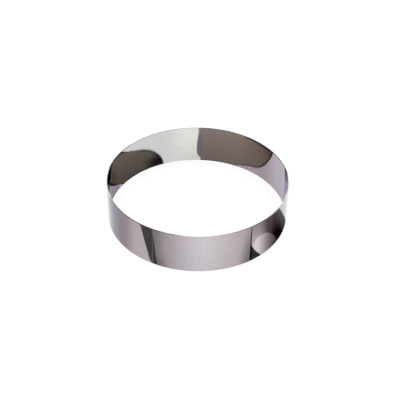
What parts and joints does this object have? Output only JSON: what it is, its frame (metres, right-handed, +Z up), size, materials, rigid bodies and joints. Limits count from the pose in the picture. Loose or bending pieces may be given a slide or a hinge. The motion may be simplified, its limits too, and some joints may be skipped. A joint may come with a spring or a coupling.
{
  "type": "pastry ring",
  "caption": "Straight-walled round pastry ring rolled from polished steel sheet, open at top and bottom, for shaping cakes and mousses.",
  "frame": {"origin": "centre of the bottom rim, on the plane that the ring stands on", "axes": "+Z up along the ring's own axis; the ring is round, so +X and +Y are any two directions across it"},
  "size_m": [0.192, 0.192, 0.045],
  "materials": {
    "polished_steel": "bright polished stainless steel with a faint rolled grain round the band"
  },
  "bodies": {
    "root": {"ring": "polished_steel"}
  },
  "joints": []
}
